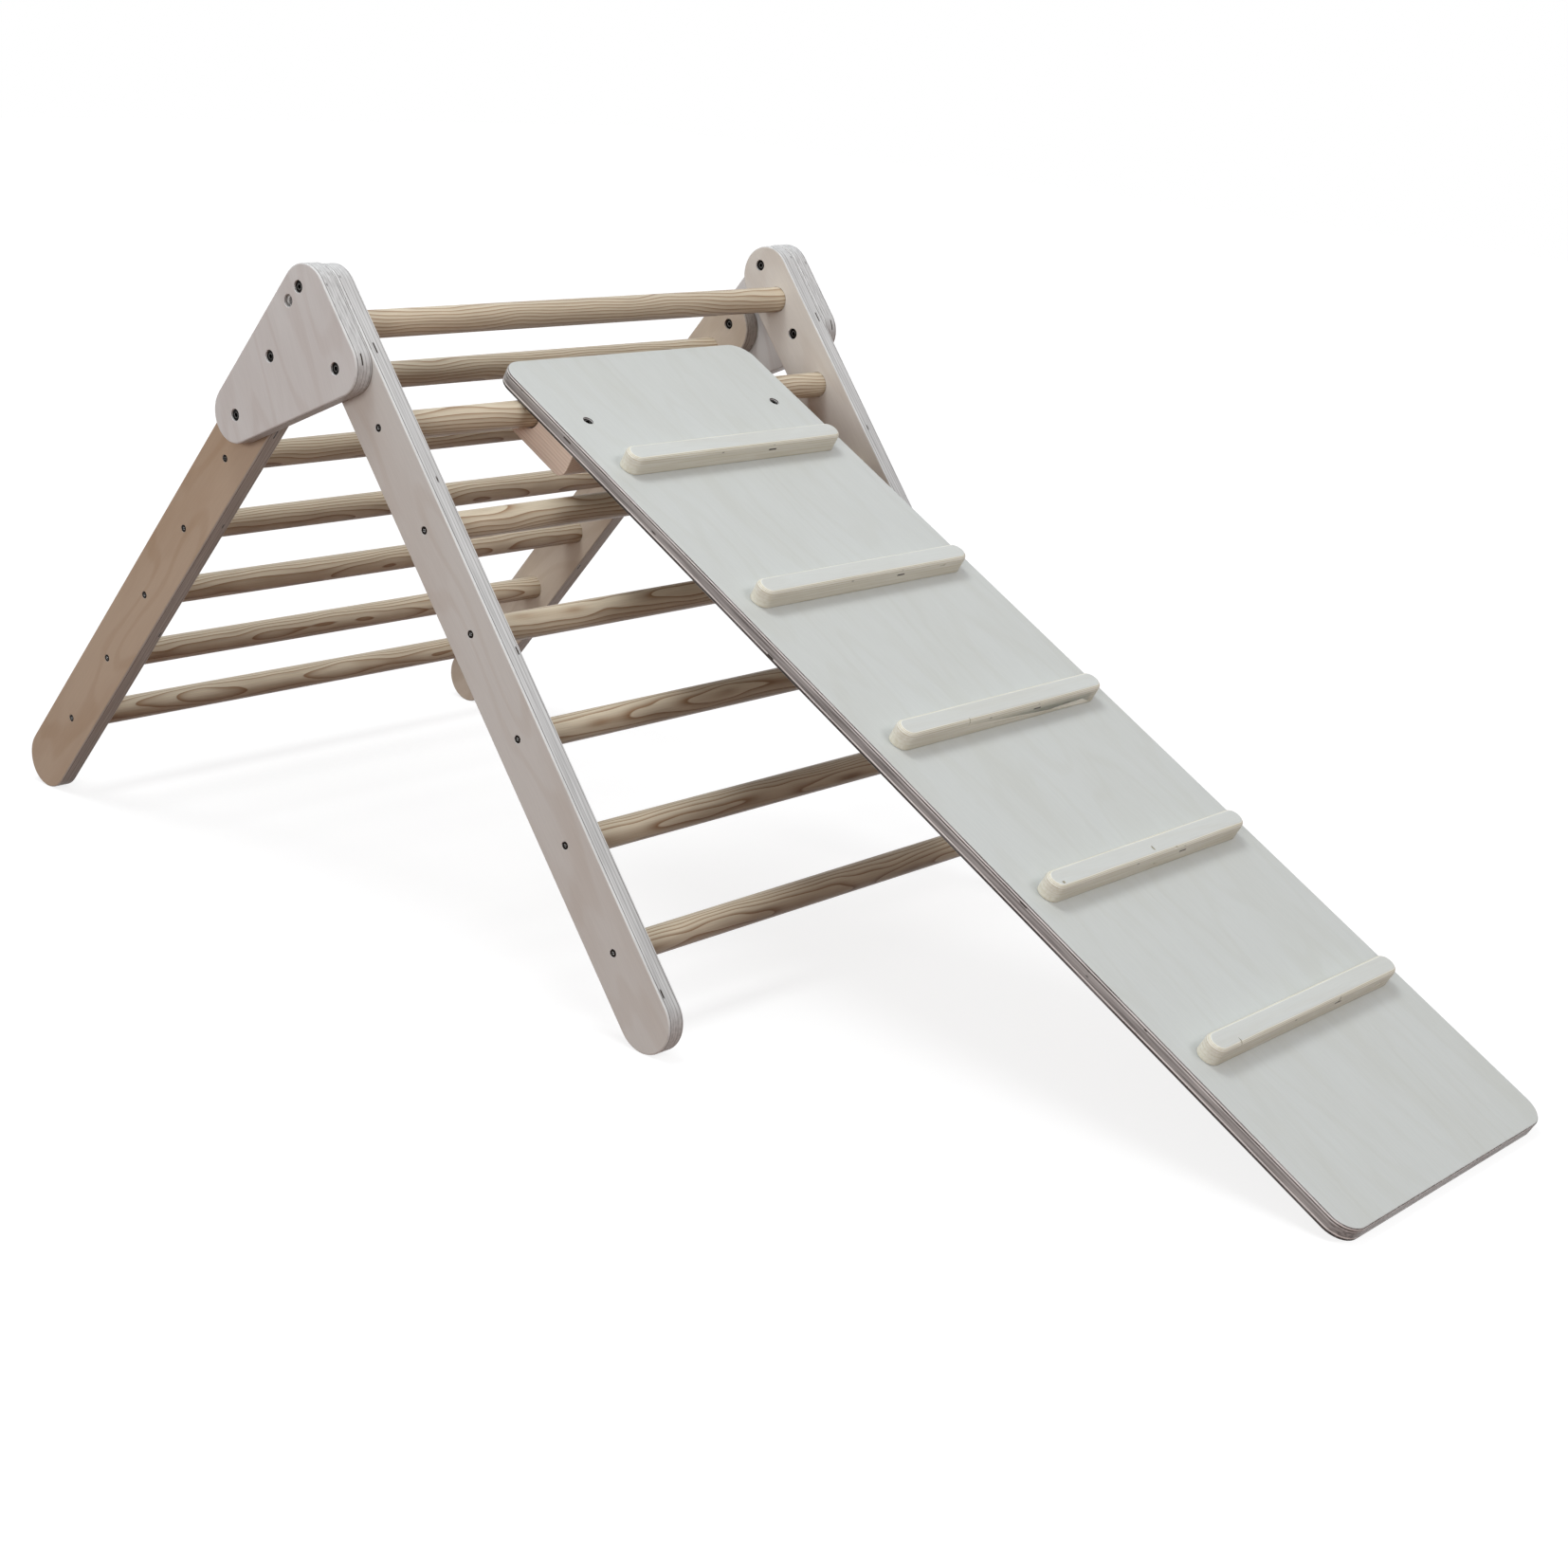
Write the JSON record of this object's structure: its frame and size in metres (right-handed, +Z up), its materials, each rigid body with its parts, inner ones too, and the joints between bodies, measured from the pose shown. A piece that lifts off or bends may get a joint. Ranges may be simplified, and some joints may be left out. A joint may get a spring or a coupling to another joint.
{
  "type": "climbing triangle",
  "caption": "Wooden climbing triangle for small children: hinged rung ladders that fold together, with a cleated climbing ramp hooked over an upper rung.",
  "frame": {"origin": "middle of the floor area that the set covers, on the floor", "axes": "+Z up, +X along the object towards the ramp's foot, +Y across it; left is the -Y side and right the +Y side"},
  "size_m": [1.4762, 0.6366, 0.5927],
  "materials": {
    "rail_board": "clear satin lacquer on birch plywood",
    "gusset_board": "clear satin lacquer on birch plywood",
    "ramp_board": "clear satin lacquer on birch plywood",
    "rung": "clear satin lacquer on turned dowel",
    "cleat": "clear satin lacquer on solid wood",
    "hook_block": "clear satin lacquer on solid wood",
    "bolt": "black zinc plated steel",
    "rung_screw": "plain zinc plated steel"
  },
  "bodies": {
    "front_frame": {"front_rail_left": "rail_board", "front_rail_right": "rail_board", "gusset_left": "gusset_board", "gusset_right": "gusset_board", "front_rung_1": "rung", "front_rung_2": "rung", "front_rung_3": "rung", "front_rung_4": "rung", "front_rung_5": "rung", "front_rung_6": "rung", "front_rung_7": "rung", "top_bolt_left": "bolt", "top_bolt_right": "bolt", "low_bolt_left": "bolt", "low_bolt_right": "bolt", "pivot_bolt_left": "bolt", "pivot_bolt_right": "bolt", "lock_bolt_left": "bolt", "lock_bolt_right": "bolt", "front_screw_left_2": "rung_screw", "front_screw_left_3": "rung_screw", "front_screw_left_4": "rung_screw", "front_screw_left_5": "rung_screw", "front_screw_left_6": "rung_screw", "front_screw_left_7": "rung_screw", "front_screw_right_2": "rung_screw", "front_screw_right_3": "rung_screw", "front_screw_right_4": "rung_screw", "front_screw_right_5": "rung_screw", "front_screw_right_6": "rung_screw", "front_screw_right_7": "rung_screw"},
    "back_frame": {"back_rail_left": "rail_board", "back_rail_right": "rail_board", "back_rung_1": "rung", "back_rung_2": "rung", "back_rung_3": "rung", "back_rung_4": "rung", "back_rung_5": "rung", "back_rung_6": "rung", "back_screw_left_2": "rung_screw", "back_screw_left_3": "rung_screw", "back_screw_left_4": "rung_screw", "back_screw_left_5": "rung_screw", "back_screw_left_6": "rung_screw", "back_screw_right_2": "rung_screw", "back_screw_right_3": "rung_screw", "back_screw_right_4": "rung_screw", "back_screw_right_5": "rung_screw", "back_screw_right_6": "rung_screw"},
    "ramp": {"ramp_panel": "ramp_board", "ramp_cleat_1": "cleat", "ramp_cleat_2": "cleat", "ramp_cleat_3": "cleat", "ramp_cleat_4": "cleat", "ramp_cleat_5": "cleat", "ramp_hook_left": "hook_block", "ramp_hook_right": "hook_block", "hook_bolt_left": "bolt", "hook_bolt_right": "bolt"}
  },
  "joints": [
    {"name": "fold", "type": "hinge", "parent": "front_frame", "child": "back_frame", "pos_m": [-0.32904, 0, 0.50587], "axis": [0, -1, 0], "range_deg": [0, 78]},
    {"name": "ramp_tilt", "type": "hinge", "parent": "front_frame", "child": "ramp", "pos_m": [-0.20167, 0, 0.46334], "axis": [0, -1, 0], "range_deg": [0, 130]}
  ]
}
